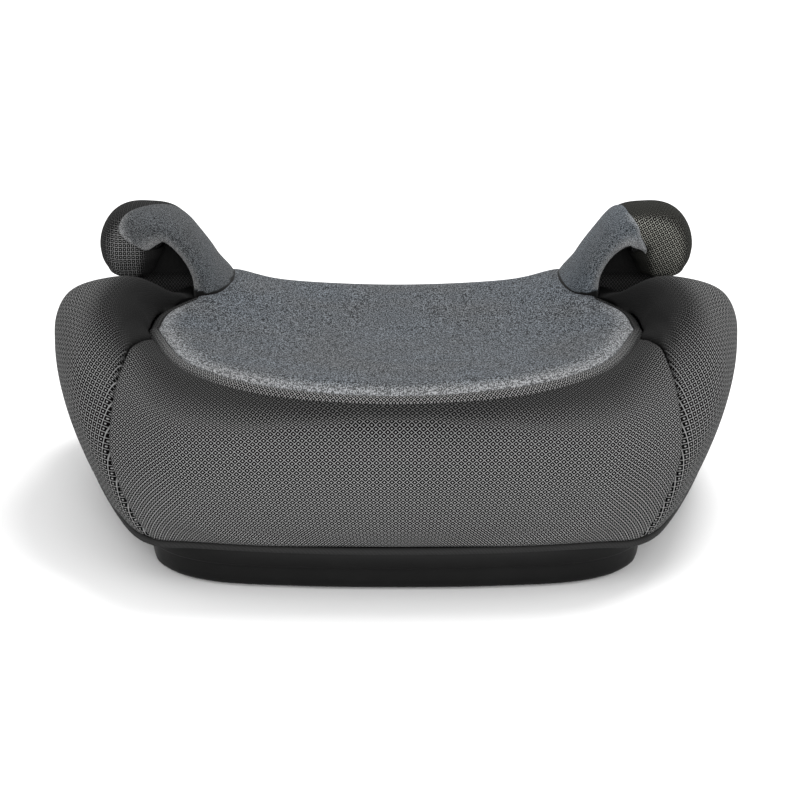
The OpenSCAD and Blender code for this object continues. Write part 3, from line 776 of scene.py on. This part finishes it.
def horn_surface(s, degrees, margin, label):
    """The horn's skin: its foot flares onto the seat, and the right hook is padded underneath."""
    seat_side = np.maximum(np.cos(np.radians(degrees)), 0) ** 0.7
    slot_side = np.maximum(-np.cos(np.radians(degrees)), 0)
    flare = 6.5 * MM * smooth((1.9 - s) / 1.3) * seat_side
    padding = RIGHT_PADDING * slot_side * np.exp(-((s - 4.1) / 0.9) ** 2) if label == "right" else 0
    return side_of(horn_point(s, degrees, margin + flare + padding), label)


def horn_shade(degrees):
    """Painted shade on the lobe's top and on its side towards the slot, which dims the light yarn."""
    c = np.cos(np.radians(degrees))
    return np.clip(0.85 * smooth((c - 0.35) / 0.5) + 0.97 * smooth((-c - 0.15) / 0.4), 0, 1)


def make_horn_sleeve(label):
    """The padded hook of jacquard, from its foot on the seat to the tip of its lobe."""
    count = 72
    sides = np.linspace(0, 360, count, endpoint=False)
    places = np.linspace(0.15, HOOK_END, 60)
    margin = -0.3 * MM
    rings = [horn_surface(np.full(count, s), sides, margin, label) for s in places]
    tips, pole = tip_rings(sides, margin)
    rings = np.stack(rings + [side_of(tip, label) for tip in tips])
    # Painted shade per point round the horn, and at its two poles
    painted_shade = np.append(np.tile(horn_shade(sides), len(rings)), [1, 0.4])
    h = open_curve(HOOK, np.array([places[0]]))[0]
    root = np.array([h[0], h[3] + h[4] / 2, h[1]])
    material = LOBE_WEAVE_LEFT if label == "left" else LOBE_WEAVE_RIGHT
    horn = tube_of_rings(f"{label}_horn", rings, material, low_pole=side_of(root, label),
                         high_pole=side_of(pole, label), painted_shade=painted_shade)
    if label == "right":
        horn.data.flip_normals()
    lattice_uv(horn)
    subdivide(horn)
    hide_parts(f"{label}_horn_sleeve", f"{label}_horn_foam")
    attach(horn, "root")


def above_pad(points):
    """How far points at the foot of the right horn are above the seat pad."""
    u, share = np.meshgrid(np.linspace(6.4, 9.6, 90), np.linspace(0.8, 1, 30), indexing="ij")
    pad = seat_point(u, share, np.zeros(u.shape), PAD_RISE).reshape(-1, 3)
    nearest = [np.argmin(np.sum((pad[:, :2] - point[:2]) ** 2, axis=1))
               for point in points.reshape(-1, 3)]
    return points[..., 2] - pad[nearest, 2].reshape(points.shape[:-1])


def make_horn_facing(label):
    """The melange facing sewn over a horn's front and its side towards the seat."""
    columns, rows = 60, 44
    share_a, share_s = grid_shares(columns, rows)
    degrees = FACING_ANGLES[0] + (FACING_ANGLES[-1] - FACING_ANGLES[0]) * share_a
    reach = np.interp(degrees, FACING_ANGLES, FACING_REACH[label])
    for _ in range(3):
        reach[1:-1] = (reach[:-2] + 2 * reach[1:-1] + reach[2:]) / 4
    s = 0.55 + (reach - 0.55) * share_s
    from_edge = np.minimum(np.minimum(share_a, 1 - share_a) * 40, (1 - share_s) * 30)
    lift = (0.35 + 0.5 * np.sin(np.pi / 2 * np.clip(from_edge, 0, 1))) * MM
    outer = horn_surface(s, degrees, lift, label)
    inner = horn_surface(s, degrees, -1.6 * MM, label)
    # A painted highlight along the facing's edges, and painted shadow in the crease where the facing
    # meets the seat pad
    rim = np.maximum(smooth(1 - (1 - share_a) * 4.5), 0.6 * smooth(1 - (1 - share_s) * 16))
    crease = smooth((2.8 * MM - above_pad(side_of(outer, label))) / (1.4 * MM))
    facing = slab(f"{label}_horn_front", outer, inner, HORN_MELANGE[label],
                  rim=1.8 * rim * smooth((degrees - 20) / 40) - 3 * crease)
    if label == "right":
        facing.data.flip_normals()
    subdivide(facing)
    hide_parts(f"{label}_horn_facing")
    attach(facing, "root")


def make_slot_lining(label):
    """The lining of the belt slot, gathered into small folds across the throat of the hook."""
    columns, rows = 30, 120
    share_a, share_s = grid_shares(columns, rows)
    degrees = SLOT_START + (SLOT_END - SLOT_START) * share_a
    s = 0.6 + 4.3 * share_s
    calm = np.sin(np.pi * share_a) ** 0.5 * smooth(share_s * 8) * smooth((1 - share_s) * 8)
    folds = 0.45 * np.sin(2 * np.pi * (17 * share_s + 0.35 * np.sin(5 * share_a + 9 * share_s)))
    lift = (0.55 * np.sin(np.pi * share_a) ** 0.3 + folds * calm) * MM
    outer = horn_surface(s, degrees, lift, label)
    inner = horn_surface(s, degrees, -1.6 * MM, label)
    along, round_it = arc_lengths(outer, 1), arc_lengths(outer, 0)
    weave = np.stack([along, round_it], axis=-1)
    lining = slab(f"{label}_slot_cloth", outer, inner, LINING, weave, np.zeros(outer.shape[:2]))
    if label == "right":
        lining.data.flip_normals()
    subdivide(lining)
    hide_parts(f"{label}_slot_lining")
    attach(lining, "root")


def make_horn_back(label):
    """The panel that closes the rear of the belt slot, from the arm across to the lobe."""
    columns, rows = 40, 44
    share_x, share_z = grid_shares(columns, rows)
    z = (102 + 56 * share_z) * MM
    arm = np.interp(z, HOOK[:4, 1], HOOK[:4, 0])
    under_lobe = 196.5 - 10.5 * np.clip((z / MM - 107) / 17, 0, 1) ** 3
    lobe = (under_lobe - 15 * smooth((z / MM - 123.5) / 3)) * MM
    x = arm + (lobe - arm) * share_x
    swell_out = np.sin(np.pi * share_x) ** 0.6 * np.sin(np.pi * np.clip(share_z, 0.2, 1)) ** 0.4
    pleats = 0.5 * np.sin(2 * np.pi * (9 * share_x + 2.5 * share_z)) * share_z * swell_out
    front = np.stack([x, (HORN_BACK_Y + 0.5 * swell_out + pleats) * MM, z], axis=-1)
    back = np.stack([x, (HORN_BACK_Y + 2.2 + 3.5 * swell_out) * MM, z], axis=-1)
    weave = np.stack([x, z], axis=-1)
    # Painted shade: the panel's light yarn is dimmed towards its top, under the lobe
    panel_piece = slab(f"{label}_horn_rear", side_of(back, label), side_of(front, label),
                       REAR_WEAVE, weave, 0.97 * smooth((z / MM - 114) / 12))
    if label == "left":
        panel_piece.data.flip_normals()
    subdivide(panel_piece)
    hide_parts(f"{label}_horn_back")
    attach(panel_piece, "root")


# ---- Hem ----


def make_hem_binding():
    """A folded tape round the cover's hem, lightly puckered by its stitches."""
    count = 440
    u = 2 * HALF * np.arange(count) / count
    hem = round_curve(RING, u)[:, 0]
    out = outward_at_hem(u)
    # Distance out from the hem and height, in millimetres
    section = [(-3.2, 25.8), (-1.0, 25.0), (0.4, 25.4), (0.8, 26.5), (0.6, 28.2), (-0.2, 29.2),
               (-3.2, 29.6)]
    pucker = 0.12 * MM * np.cos(np.pi * np.arange(count))
    rings = np.stack([np.concatenate([(hem + out * (d * MM + pucker[:, None]))[:, :2],
                                      np.full((count, 1), z * MM)], axis=1) for d, z in section])
    binding = tube_of_rings("hem_tape", rings, TAPE)
    subdivide(binding)
    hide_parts("hem_binding")
    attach(binding, "root")


# Outline of the tub from the front centre round the right side to the back centre, in millimetres
TUB = [
    [0, -156], [58, -154], [110, -146.5], [140, -126], [152, -92], [159, 0],
    [163, 60], [163, 95], [154, 128], [124, 148], [70, 154], [0, 155],
]
TUB_RING = ring_of(TUB)
# The flap under a wing: its first section, how many it spans, its height and its gathers
FLAP_START = 3.4
FLAP_SPAN = 5.4
FLAP_Z = 26.1
FLAP_THICKNESS = 1.2 * MM
FLAP_GATHERS = 34


def make_hem_flap(label):
    """Cloth under the overhang of a wing, pulled from the hem to the tub in shallow gathers."""
    share_u, share = grid_shares(150, 10)
    u = FLAP_START + FLAP_SPAN * share_u
    hem = round_curve(RING, u)[..., 0, :]
    start = round_curve(TUB_RING, u) * 1.032
    end = (hem - 1.5 * MM * outward_at_hem(u))[..., :2]
    flat = start + share[..., None] * (end - start)
    gather = 0.5 * np.sin(2 * np.pi * FLAP_GATHERS * share_u) * np.sin(np.pi * share) ** 0.6
    z = (FLAP_Z + gather) * MM
    top = np.concatenate([flat, z[..., None]], axis=-1)
    bottom = top - [0, 0, FLAP_THICKNESS]
    flap = slab(f"{label}_under_flap", side_of(top, label), side_of(bottom, label), UNDER_CLOTH)
    if label == "right":
        flap.data.flip_normals()
    # The area is an estimate. One side of this strip measures 0.87 of width times length.
    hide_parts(f"{label}_hem_flap")
    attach(flap, "root")


# ---- Tub ----

# In millimetres: the step in the wall, the tub's top, how far its foot pads stand off the floor,
# the wall's thickness, the ribs' spacing and width, and the centres of the feet and screws
STEP_Z = 15
TUB_TOP = 28
FOOT_PROUD = 1.2
WALL = 3
RIB_PITCH = 40
RIB_WIDTH = 2.5
FEET = [(x, y) for x in (-106, 106) for y in (-122, 126)]
SCREWS = [(x, y) for x in (-128, 128) for y in (-104, 18, 118)]


def tub_loop(offset, z, count):
    """A loop round the tub, offset millimetres out from its outline at height z."""
    u = 2 * HALF * np.arange(count) / count
    p = round_curve(TUB_RING, u)
    run = unit(round_curve(TUB_RING, u + 0.05) - round_curve(TUB_RING, u - 0.05))
    out = np.stack([run[:, 1], -run[:, 0]], axis=-1)
    flat = p + offset * MM * out
    return np.concatenate([flat, np.full((count, 1), z * MM)], axis=1)


def lathe(profile, centre, count):
    """Points and faces of a turned solid; profile is radius and height from axis to axis."""
    angle = 2 * np.pi * np.arange(count) / count
    circle = np.stack([np.cos(angle), np.sin(angle)], axis=-1)
    rings = [np.concatenate([centre + r * circle, np.full((count, 1), z)], axis=1) * MM
             for r, z in profile]
    points = np.concatenate(rings)
    faces = quads(len(profile), count, 0, close_columns=True).tolist()
    faces.append(list(range(count))[::-1])
    last = (len(profile) - 1) * count
    faces.append(list(range(last, last + count)))
    return points, faces


def bar(low, high):
    """Points and faces of a rib with slightly drawn-in lower edges."""
    (x0, y0, z0), (x1, y1, z1) = low, high
    draft = 0.35
    dx, dy = (draft, 0) if x1 - x0 < y1 - y0 else (0, draft)
    points = np.array([
        [x0 + dx, y0 + dy, z0], [x1 - dx, y0 + dy, z0], [x1 - dx, y1 - dy, z0],
        [x0 + dx, y1 - dy, z0], [x0, y0, z1], [x1, y0, z1], [x1, y1, z1], [x0, y1, z1]]) * MM
    faces = [[0, 3, 2, 1], [4, 5, 6, 7], [0, 1, 5, 4], [1, 2, 6, 5], [2, 3, 7, 6], [3, 0, 4, 7]]
    return points, faces


def join(solids):
    """The points and faces of several solids as those of one mesh."""
    points, faces, size = [], [], 0
    for own_points, own_faces in solids:
        points.append(own_points)
        faces += [[size + i for i in face] for face in own_faces]
        size += len(own_points)
    return np.concatenate(points), faces


def tub_reach(axis, at):
    """Lowest and highest place of the tub's outline along one axis, at a place on the other."""
    loop = tub_loop(-1.5, 0, 880)[:, :2] / MM
    near = loop[np.abs(loop[:, 1 - axis] - at) < 1.2, axis]
    return near.min(), near.max()


def make_tub():
    """The moulded tub: a stepped wall with a flat top, ribs, screw bosses and foot pads."""
    count = 352
    # Once round the wall's section: distance out from the outline, and height
    wall = [(-6.2, 1.4), (-4.2, FOOT_PROUD), (-2.6, 1.5), (-1.3, 2.6), (-0.6, 4.4), (-0.3, 7.5),
            (0, 11.5), (0.15, STEP_Z - 0.9), (0.3, STEP_Z - 0.3), (1.3, STEP_Z), (2.0, STEP_Z + 0.35),
            (2.3, STEP_Z + 1.2), (2.5, 20), (2.6, TUB_TOP - 1.2), (2.1, TUB_TOP - 0.3), (1.2, TUB_TOP)]
    wall += [(-20, TUB_TOP), (-60, TUB_TOP), (-60, TUB_TOP - WALL), (-20, TUB_TOP - WALL),
             (-3.6, TUB_TOP - WALL), (-3.2, TUB_TOP - WALL - 1.5), (-3.4, 14), (-5.5, 5), (-6.4, 2.4)]
    rings = np.stack([tub_loop(offset, z, count) for offset, z in wall])
    wall_faces = quads(len(wall), count, 0, close_columns=True).tolist()
    solids = [(rings.reshape(-1, 3), wall_faces + closing_quads(len(wall), count))]
    solids.append(bar((-100, -94, TUB_TOP - WALL), (100, 94, TUB_TOP - 0.1)))
    rib_low, rib_high = FOOT_PROUD + 4, TUB_TOP - 1
    for k in range(-3, 4):
        side, other = k * RIB_PITCH - RIB_WIDTH / 2, k * RIB_PITCH + RIB_WIDTH / 2
        low, high = tub_reach(1, k * RIB_PITCH)
        solids.append(bar((side, low, rib_low), (other, high, rib_high)))
        low, high = tub_reach(0, k * RIB_PITCH)
        solids.append(bar((low, side, rib_low + 0.05), (high, other, rib_high)))
    boss = [(2.3, 16), (2.3, 22), (5, 22), (5, 16.6), (5.4, 16), (7, 16), (7.5, 16.6), (7.5, 27)]
    pad = [(6, 3), (12.2, 3), (12.2, 1.6), (12.6, FOOT_PROUD), (15, FOOT_PROUD), (15.5, 1.7), (15.5, 27)]
    solids += [lathe(boss, np.array(place), 48) for place in SCREWS]
    solids += [lathe(pad, np.array(place), 48) for place in FEET]
    tub = new_piece("tub", *join(solids), TUB_PLASTIC)
    bevel = tub.modifiers.new("edges", "BEVEL")
    bevel.width = 0.4 * MM
    bevel.segments = 2
    bevel.limit_method = "ANGLE"
    bevel.angle_limit = math.radians(50)
    bevel.harden_normals = True
    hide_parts("base_tub")
    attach(tub, "root")


def make_feet():
    """Moulded rubber feet with a rounded rim and two grip grooves."""
    profile = [(1.5, 0.35), (2.2, 0), (5, 0), (5.3, 0.5), (6.1, 0.5), (6.4, 0), (8.6, 0), (8.9, 0.5),
               (9.7, 0.5), (10, 0), (11, 0.08), (11.7, 0.5), (11.9, 1.1), (11.9, 3.1), (4, 3.1)]
    feet = new_piece("feet", *join([lathe(profile, np.array(place), 64) for place in FEET]), RUBBER)
    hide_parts("rubber_feet")
    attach(feet, "root")


def dress_cad_nodes():
    """The rigid pieces inside keep their CAD shapes and get finished materials."""
    finishes = {"tub_screws": STEEL, "horn_screws": STEEL, "seat_shell": SHELL_PLASTIC,
                "right_horn_arm": SHELL_PLASTIC, "left_horn_arm": SHELL_PLASTIC}
    for name, material in finishes.items():
        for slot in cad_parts[name].material_slots:
            slot.material = material


# ---- Floor and lights ----


def make_floor():
    """The paper that the seat stands on, far larger than the view."""
    points = np.array([[-8, -6, 0], [8, -6, 0], [8, 12, 0], [-8, 12, 0]], float)
    floor = new_piece("floor", points, [[0, 1, 2, 3]], FLOOR)


def area_light(name, place, aim, size, power):
    """A round white lamp at place that points at aim."""
    data = bpy.data.lights.new(name, "AREA")
    data.shape = "DISK"
    data.size = size
    data.energy = power
    light = bpy.data.objects.new(name, data)
    bpy.context.collection.objects.link(light)
    light.location = place
    light.rotation_euler = (Vector(aim) - Vector(place)).to_track_quat("-Z", "Y").to_euler()


def make_lights():
    """A white room with a large lamp high up on the right, and one in front."""
    world = bpy.data.worlds.new("studio")
    world.use_nodes = True
    world.node_tree.nodes["Background"].inputs["Color"].default_value = (1, 1, 1, 1)
    world.node_tree.nodes["Background"].inputs["Strength"].default_value = 1.04
    bpy.context.scene.world = world
    bpy.context.scene.view_settings.view_transform = "Standard"
    area_light("key", (0.75, 0.85, 2.6), (0, 0, 0.05), 1.3, 43)
    area_light("front", (0.2, -2.6, 0.7), (0, 0, 0.06), 1.2, 38)


make_camera()
make_cover()
make_seat_pad()
make_seat_band()
for side_label in ("left", "right"):
    make_horn_sleeve(side_label)
    make_horn_facing(side_label)
    make_slot_lining(side_label)
    make_horn_back(side_label)
    make_hem_flap(side_label)
make_hem_binding()
make_tub()
make_feet()
dress_cad_nodes()
make_floor()
make_lights()
